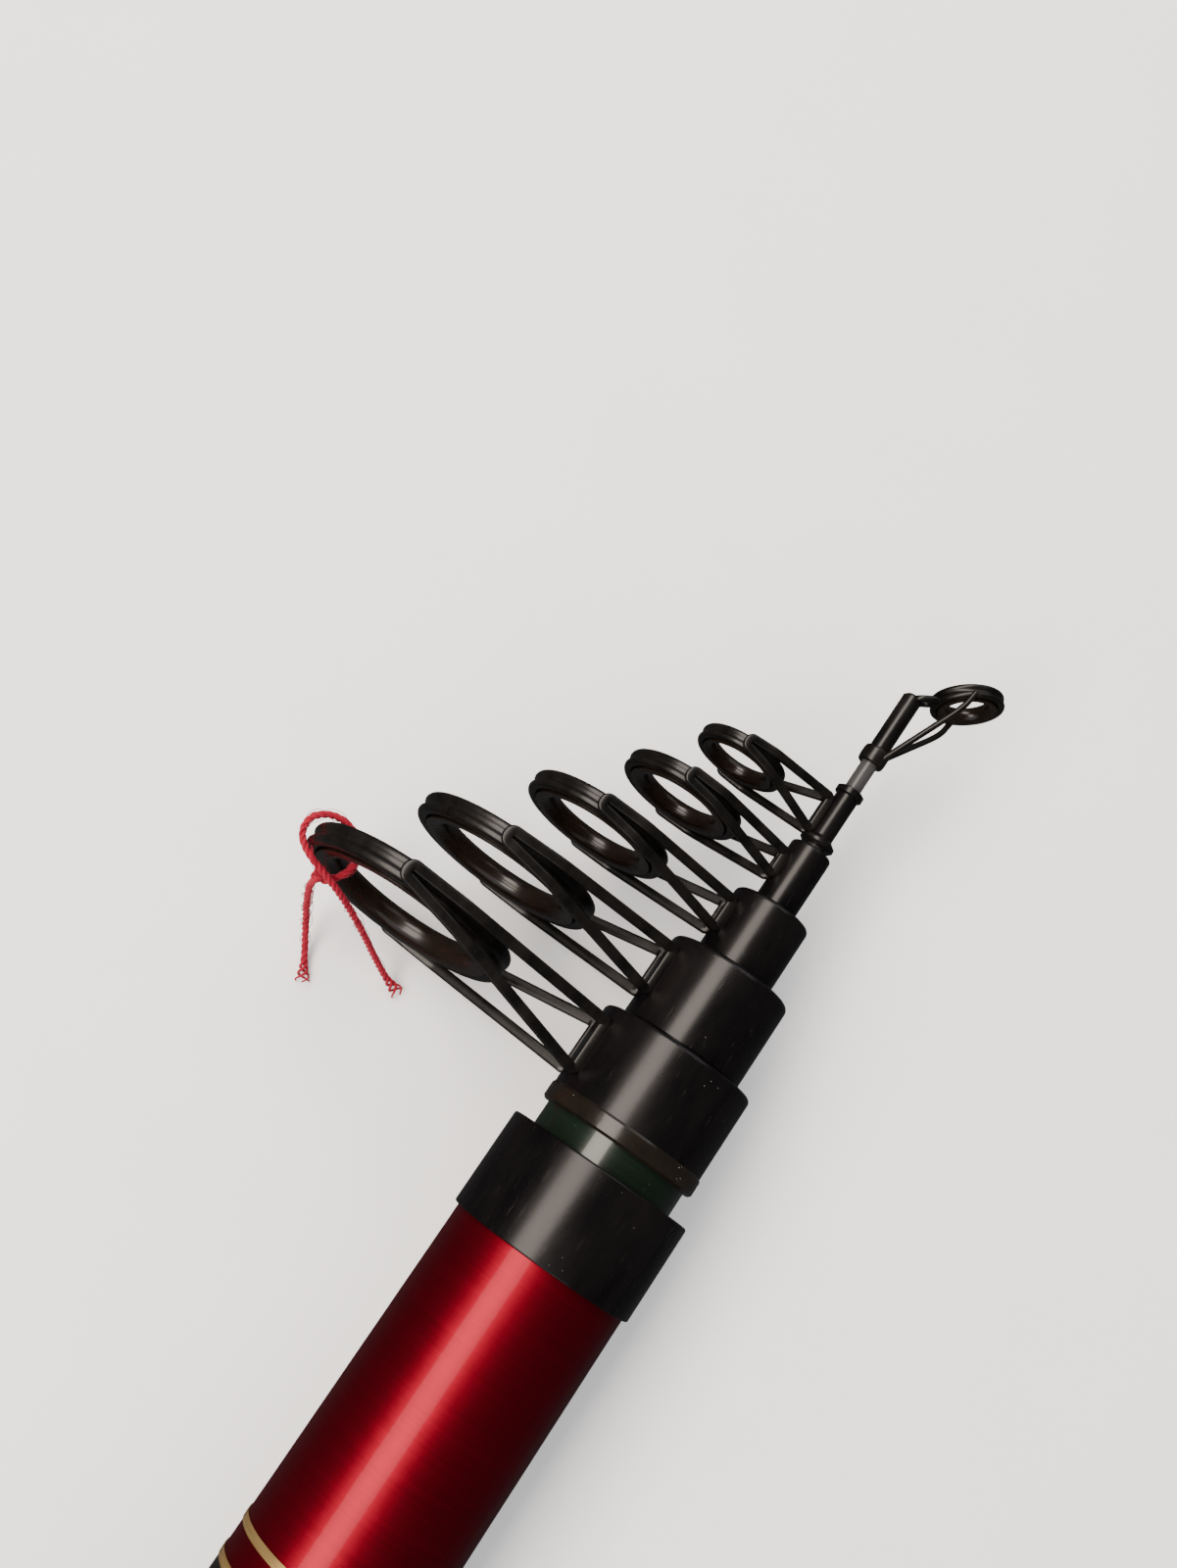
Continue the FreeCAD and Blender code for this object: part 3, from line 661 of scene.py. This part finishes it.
class Finish(Signal):
    """A material under way: where its patterns are read, and the shader that they feed. Its plain colour and
    roughness are what is left where no pattern is put in their place."""

    def __init__(self, name, color, roughness, metallic=0.0, coat=0.0, coat_roughness=0.05, specular=0.5):
        self.material = bpy.data.materials.new(name)
        self.material.use_nodes = True
        super().__init__(self.material.node_tree)
        self.shader = self.tree.nodes["Principled BSDF"]
        self.put("Base Color", (*color, 1.0))
        self.put("Roughness", roughness)
        self.put("Metallic", metallic)
        self.put("Coat Weight", coat)
        self.put("Coat Roughness", coat_roughness)
        self.put("IOR", 1.5)
        self.put("Specular IOR Level", specular)
        self.place = self.node("ShaderNodeTexCoord", out="Object")

    def put(self, name, value):
        if isinstance(value, Signal):
            self.tree.links.new(value.socket, self.shader.inputs[name])
        else:
            self.shader.inputs[name].default_value = value

    def stretched(self, x, y, z):
        """The place, scaled by a different amount along each axis."""
        return self.node("ShaderNodeMapping", {"Vector": self.place, "Scale": (x, y, z)})

    def noise(self, scale, detail=3.0, rough=0.5, at=None):
        inputs = {"Vector": at or self.place, "Scale": scale, "Detail": detail, "Roughness": rough}
        return self.node("ShaderNodeTexNoise", inputs)

    def cells(self, scale):
        """The distance from each place to the nearest of many scattered points."""
        return self.node("ShaderNodeTexVoronoi", {"Vector": self.place, "Scale": scale}, out="Distance")

    def bump(self, height, strength, distance):
        """Height is in the pattern's own units; distance is what a height of 1 stands for, in metres."""
        inputs = {"Height": height, "Strength": strength, "Distance": distance}
        self.put("Normal", self.node("ShaderNodeBump", inputs))


print("signals are ready")

# %% [markdown]
# ### Specks and smears
# Everything on this rod has been handled: there are dust specks a tenth of a millimetre wide, and faint
# smears that dull the gloss in patches. Specks are the middles of Voronoi cells, kept only in a few of
# the cells by a second, broader noise.

# %% Wear shared by the finishes
def specks(finish, scale, size, few=0.62):
    """1 within a cell's middle, where a broad noise is above a threshold; 0 elsewhere."""
    dots = finish.cells(scale).ramp((size * 0.7, 1.0), (size, 0.0))
    patches = finish.noise(scale * 0.21, 2.0).ramp((few, 0.0), (few + 0.05, 1.0))
    return dots * patches


def smears(finish, scale=90.0):
    """Soft patches between 0 and 1, longer along the rod than across it."""
    patches = finish.noise(1.0, 4.0, 0.6, finish.stretched(scale * 0.35, scale, scale))
    return patches.ramp((0.38, 0.0), (0.68, 1.0))


# %% [markdown]
# ### Candy-red lacquer
# The butt is glass fibre under a translucent red lacquer: a bright layer with fine streaks round the tube,
# then red, then clear gloss. A metallic base coat with streaks in its roughness gives the broad soft
# glow, and the Coat on top gives the sharp highlight. Behind the gold rings the same lacquer is black,
# which is a step along X. Fine fibres show as a pattern stretched far more round the tube than along it.

# %% Make the lacquers
BLACK_BEHIND_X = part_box("gold_trim_rings")[0][0] + 0.8 * MM


def red_lacquer():
    finish = Finish("red_lacquer", (0.2, 0.0006, 0.012), 0.32, metallic=0.95, coat=0.12, coat_roughness=0.07)
    fibres = finish.noise(1.0, 5.0, 0.65, finish.stretched(7200, 60, 60))
    bands = finish.noise(1.0, 3.0, 0.5, finish.stretched(1300, 20, 20))
    streaks = (fibres * 0.7 + bands * 0.3).ramp((0.20, 0.0), (0.80, 1.0))
    smear = smears(finish)
    waves = finish.noise(1.0, 2.0, 0.5, finish.stretched(420, 240, 240))
    red = streaks.mix((0.150, 0.0016, 0.0085, 1), (0.235, 0.0026, 0.0150, 1))
    red = (smear * 0.2).mix(red, (0.15, 0.0016, 0.009, 1))
    along = finish.node("ShaderNodeSeparateXYZ", {0: finish.place}, out=0)
    rear = along.math("LESS_THAN", along, BLACK_BEHIND_X)
    finish.put("Base Color", rear.mix(red, (0.006, 0.004, 0.005, 1)))
    finish.put("Roughness", 0.34 + streaks * 0.07 + smear * 0.04)
    finish.put("Metallic", 0.94 - 0.84 * rear)
    finish.bump(waves + fibres * 0.12 + bands * 0.05, 0.45, 0.00007)
    return finish


def green_lacquer():
    finish = Finish("green_lacquer", (0.004, 0.02, 0.01), 0.22, metallic=0.25, coat=0.5, coat_roughness=0.06)
    fibres = finish.noise(1.0, 5.0, 0.6, finish.stretched(3600, 80, 80))
    dust = specks(finish, 1500, 0.10)
    green = fibres.mix((0.0016, 0.0045, 0.0022, 1), (0.007, 0.018, 0.0085, 1))
    finish.put("Base Color", (dust * 0.5).mix(green, (0.3, 0.3, 0.27, 1)))
    finish.put("Roughness", 0.20 + fibres * 0.10 + dust * 0.4)
    finish.bump(fibres, 0.08, 0.00005)
    return finish


# %% [markdown]
# ### Black parts
# The blacks differ only in how they shine. The collar and the sleeves share a lacquer with dust, smears and
# fine scuffs; the guides are plated and sharper; the ceramic is a brown-black glaze; the resin lip is thick
# and wavy; and rubber is matt. A strong Coat would turn a black tube white along both edges, where every
# gloss mirrors fully, so the Coats here are thin.

# %% Make the blacks
def black_gloss():
    finish = Finish("black_gloss", (0.012, 0.011, 0.011), 0.25, coat=0.12, coat_roughness=0.18, specular=0.25)
    dust = specks(finish, 1700, 0.10, 0.63)
    smear = smears(finish, 140.0)
    scuffs = finish.noise(1.0, 5.0, 0.7, finish.stretched(260, 1900, 1900)).ramp((0.62, 0.0), (0.78, 1.0))
    shade = smear.mix((0.0016, 0.0013, 0.0015, 1), (0.0048, 0.0037, 0.0037, 1))
    shade = (scuffs * 0.35).mix(shade, (0.05, 0.045, 0.04, 1))
    finish.put("Base Color", (dust * 0.5).mix(shade, (0.38, 0.35, 0.31, 1)))
    finish.put("Roughness", (0.24 + smear * 0.12 + scuffs * 0.12 + dust * 0.3).clamp())
    finish.bump(finish.noise(2600, 2.0) * 0.3 + dust + scuffs * 0.1, 0.12, 0.00005)
    return finish


def guide_metal():
    finish = Finish("guide_metal", (0.010, 0.009, 0.008), 0.28, coat=0.10, coat_roughness=0.10, specular=0.30)
    pits = finish.noise(2400, 3.0, 0.6)
    smear = smears(finish, 320.0)
    dust = specks(finish, 2200, 0.10, 0.66)
    shade = smear.mix((0.0022, 0.0020, 0.0018, 1), (0.0070, 0.0058, 0.0048, 1))
    finish.put("Base Color", (dust * 0.3).mix(shade, (0.20, 0.18, 0.15, 1)))
    finish.put("Roughness", 0.22 + pits * 0.12 + smear * 0.10)
    finish.bump(pits, 0.10, 0.00004)
    return finish


def ceramic():
    finish = Finish("ceramic", (0.010, 0.006, 0.004), 0.16, coat=0.10, coat_roughness=0.08, specular=0.35)
    cloud = finish.noise(420, 3.0)
    finish.put("Base Color", cloud.mix((0.003, 0.0022, 0.0015, 1), (0.013, 0.0075, 0.0045, 1)))
    finish.put("Roughness", 0.18 + cloud * 0.14)
    finish.bump(finish.noise(1800, 2.0), 0.04, 0.00003)
    return finish


def epoxy():
    finish = Finish("epoxy", (0.006, 0.006, 0.004), 0.24, coat=0.12, coat_roughness=0.08, specular=0.35)
    swell = finish.noise(520, 2.0)
    dust = specks(finish, 1900, 0.12, 0.56)
    brown = swell.mix((0.0030, 0.0030, 0.0022, 1), (0.012, 0.0085, 0.0055, 1))
    finish.put("Base Color", (dust * 0.7).mix(brown, (0.4, 0.4, 0.36, 1)))
    finish.put("Roughness", (0.22 + dust * 0.5).clamp())
    finish.bump(swell + dust * 0.4, 0.35, 0.00012)
    return finish


def rubber():
    finish = Finish("rubber", (0.016, 0.016, 0.017), 0.62)
    grain = finish.noise(1900, 4.0, 0.6)
    finish.put("Base Color", grain.mix((0.011, 0.011, 0.012, 1), (0.028, 0.027, 0.026, 1)))
    finish.put("Roughness", 0.52 + grain * 0.22)
    finish.bump(grain, 0.22, 0.00008)
    return finish


# %% [markdown]
# ### Handle finishes
# The foam's cells are about half a millimetre wide and open where the grip was ground, so it is matte
# and pitted; the colour is also darker inside the pits, which is painted shade. The seat is moulded plastic
# with a spark-eroded grain. The hoods and the small rings are turned metal: their lines run round the rod,
# so the pattern is stretched the way the lacquer's is.

# %% Make the handle finishes
def foam():
    finish = Finish("foam", (0.02, 0.02, 0.021), 0.92, specular=0.3)
    pores = finish.cells(1500)
    open_pits_and_painted_shade = finish.cells(650).ramp((0.10, 1.0), (0.26, 0.0))
    mottle = finish.noise(120, 4.0, 0.6)
    shade = mottle.mix((0.007, 0.007, 0.008, 1), (0.020, 0.0195, 0.0195, 1))
    # The colour goes darker inside the open cells: this is painted shade in the pits, while the bump below
    # sinks them.
    finish.put("Base Color", (open_pits_and_painted_shade * 0.7).mix(shade, (0.004, 0.004, 0.004, 1)))
    finish.put("Roughness", 0.80 + mottle * 0.18)
    finish.bump(pores * 0.6 - open_pits_and_painted_shade * 0.9, 0.55, 0.00022)
    return finish


def seat_plastic():
    finish = Finish("seat_plastic", (0.014, 0.014, 0.015), 0.38, coat=0.1, coat_roughness=0.3)
    grain = finish.noise(2300, 4.0, 0.65)
    smear = smears(finish, 110.0)
    finish.put("Base Color", smear.mix((0.010, 0.010, 0.011, 1), (0.024, 0.023, 0.023, 1)))
    finish.put("Roughness", 0.34 + grain * 0.14 + smear * 0.08)
    finish.bump(grain, 0.16, 0.00007)
    return finish


def turned_metal(name, dark, bright, roughness):
    finish = Finish(name, bright, roughness, metallic=1.0)
    lines = finish.noise(1.0, 4.0, 0.6, finish.stretched(6800, 90, 90))
    smear = smears(finish, 160.0)
    finish.put("Base Color", (lines * 0.7 + smear * 0.3).mix((*dark, 1), (*bright, 1)))
    finish.put("Roughness", roughness + lines * 0.12 + smear * 0.08)
    finish.bump(lines, 0.10, 0.00004)
    return finish


def gold_trim():
    finish = Finish("gold_trim", (0.72, 0.48, 0.16), 0.34, metallic=0.85, coat=0.8, coat_roughness=0.08)
    wraps = finish.noise(1.0, 3.0, 0.5, finish.stretched(9000, 240, 240))
    finish.put("Base Color", wraps.mix((0.42, 0.24, 0.07, 1), (0.74, 0.52, 0.22, 1)))
    finish.put("Roughness", 0.26 + wraps * 0.2)
    finish.bump(wraps, 0.2, 0.00005)
    return finish


def tip_glass():
    finish = Finish("tip_glass", (0.03, 0.03, 0.032), 0.3, coat=0.15, coat_roughness=0.1, specular=0.35)
    fibres = finish.noise(1.0, 4.0, 0.6, finish.stretched(300, 4200, 4200))
    finish.put("Base Color", fibres.mix((0.014, 0.014, 0.016, 1), (0.060, 0.058, 0.056, 1)))
    finish.put("Roughness", 0.24 + fibres * 0.18)
    finish.bump(fibres, 0.12, 0.00004)
    return finish


def red_yarn():
    finish = Finish("red_yarn", (0.50, 0.018, 0.03), 0.85, specular=0.25)
    fuzz = finish.noise(3800, 4.0, 0.7)
    shade = finish.noise(420, 2.0)
    red = fuzz.mix((0.16, 0.001, 0.008, 1), (0.42, 0.006, 0.032, 1))
    finish.put("Base Color", (shade * 0.5).mix(red, (0.24, 0.002, 0.014, 1)))
    finish.put("Roughness", 0.78 + fuzz * 0.2)
    finish.put("Sheen Weight", 0.25)
    finish.put("Sheen Tint", (1.0, 0.3, 0.35, 1))
    finish.bump(fuzz, 0.6, 0.00012)
    return finish


# %% Give every piece its finish
FINISHES = {
    "red_lacquer": red_lacquer(),
    "black_gloss": black_gloss(),
    "gold_trim": gold_trim(),
    "foam": foam(),
    "ring_metal": turned_metal("ring_metal", (0.40, 0.40, 0.41), (0.66, 0.66, 0.67), 0.28),
    "seat_plastic": seat_plastic(),
    "hood_metal": turned_metal("hood_metal", (0.34, 0.34, 0.35), (0.60, 0.60, 0.61), 0.24),
    "rubber": rubber(),
    "green_lacquer": green_lacquer(),
    "epoxy": epoxy(),
    "guide_metal": guide_metal(),
    "ceramic": ceramic(),
    "tip_glass": tip_glass(),
    "red_yarn": red_yarn(),
}
SLOT_OF_NODE = {part["node"]: part["material_slot"] for part in record["subparts"]}


def dress(piece, slot):
    piece.data.materials.clear()
    piece.data.materials.append(FINISHES[slot].material)


for node, slot in SLOT_OF_NODE.items():
    dress(nodes[node], slot)
for piece in guide_frames + [tip_frame]:
    dress(piece, "guide_metal")
for piece in grips:
    dress(piece, "foam")
for piece in (yarn, knot):
    dress(piece, "red_yarn")
new_pieces = len(guide_frames) + len(grips) + len((tip_frame, yarn, knot))
print("dressed", len(SLOT_OF_NODE), "nodes and", new_pieces, "pieces in", len(FINISHES), "finishes")

# %% [markdown]
# ## Floor and light
# The rod lies on a plain pale floor. One long soft lamp stands off on the guides' side: a long lamp beside a
# round tube draws one long highlight along it. Two broad lamps stand beyond the rod's two ends, where a
# tube can't mirror them to the camera, so they brighten the floor and leave the lacquer dark. A glossy
# tube also mirrors the pale floor along both its edges. A studio stops that with dark cards; here the
# floor is kept out of the reflections, and the sky is pale for matt surfaces but dark for shiny ones.

# %% Set the stage
FLOOR_HALF = 15.0
KEY_PLACE = (MOUTH_X - 0.02, 0.34, 0.62)
KEY_SIZE = (1.4, 0.34)
KEY_WATTS = 15.5
KEY_COLOUR = (1.0, 0.89, 0.80)
FILL_AWAY = 1.8
FILL_SIZE = (2.2, 1.8)
FILL_WATTS = 14
SKY = 0.85
SKY_MIRRORED = 0.07


def make_floor():
    mesh = bpy.data.meshes.new("floor")
    corners = [(x * FLOOR_HALF, y * FLOOR_HALF, floor_z) for x, y in ((-1, -1), (1, -1), (1, 1), (-1, 1))]
    mesh.from_pydata(corners, [], [(0, 1, 2, 3)])
    floor = bpy.data.objects.new("floor", mesh)
    bpy.context.scene.collection.objects.link(floor)
    finish = Finish("floor", (0.86, 0.86, 0.85), 0.75, specular=0.2)
    grain = finish.noise(60, 3.0)
    finish.put("Base Color", grain.mix((0.90, 0.90, 0.89, 1), (0.94, 0.94, 0.93, 1)))
    mesh.materials.append(finish.material)
    floor.visible_glossy = False


def make_lamp(name, place, target, size, power, colour=(1.0, 1.0, 1.0)):
    light = bpy.data.lights.new(name, "AREA")
    light.shape = "RECTANGLE"
    light.size, light.size_y = size
    light.energy = power
    light.color = colour
    lamp = bpy.data.objects.new(name, light)
    bpy.context.scene.collection.objects.link(lamp)
    lamp.location = place
    lamp.rotation_euler = (Vector(target) - Vector(place)).to_track_quat("-Z", "Y").to_euler()


def make_sky(plain, mirrored):
    """A pale sky that lights what is matt, and a dark one in the reflections."""
    world = bpy.data.worlds.new("sky")
    world.use_nodes = True
    tree = Signal(world.node_tree)
    sky = world.node_tree.nodes["Background"]
    sky.inputs["Color"].default_value = (0.97, 0.97, 1.0, 1)
    shiny = tree.node("ShaderNodeLightPath", out="Is Glossy Ray")
    strength = plain - (plain - mirrored) * shiny
    world.node_tree.links.new(strength.socket, sky.inputs["Strength"])
    bpy.context.scene.world = world


make_floor()
target = (MOUTH_X - 0.02, 0, 0)
make_lamp("key", KEY_PLACE, target, KEY_SIZE, KEY_WATTS, KEY_COLOUR)
make_lamp("front_fill", (MOUTH_X + FILL_AWAY, 0.1, 1.1), target, FILL_SIZE, FILL_WATTS)
make_lamp("rear_fill", (MOUTH_X - FILL_AWAY, 0.1, 1.1), target, FILL_SIZE, FILL_WATTS)
make_sky(SKY, SKY_MIRRORED)
print("the floor is", round(-floor_z / MM, 2), "mm under the rod's axis")
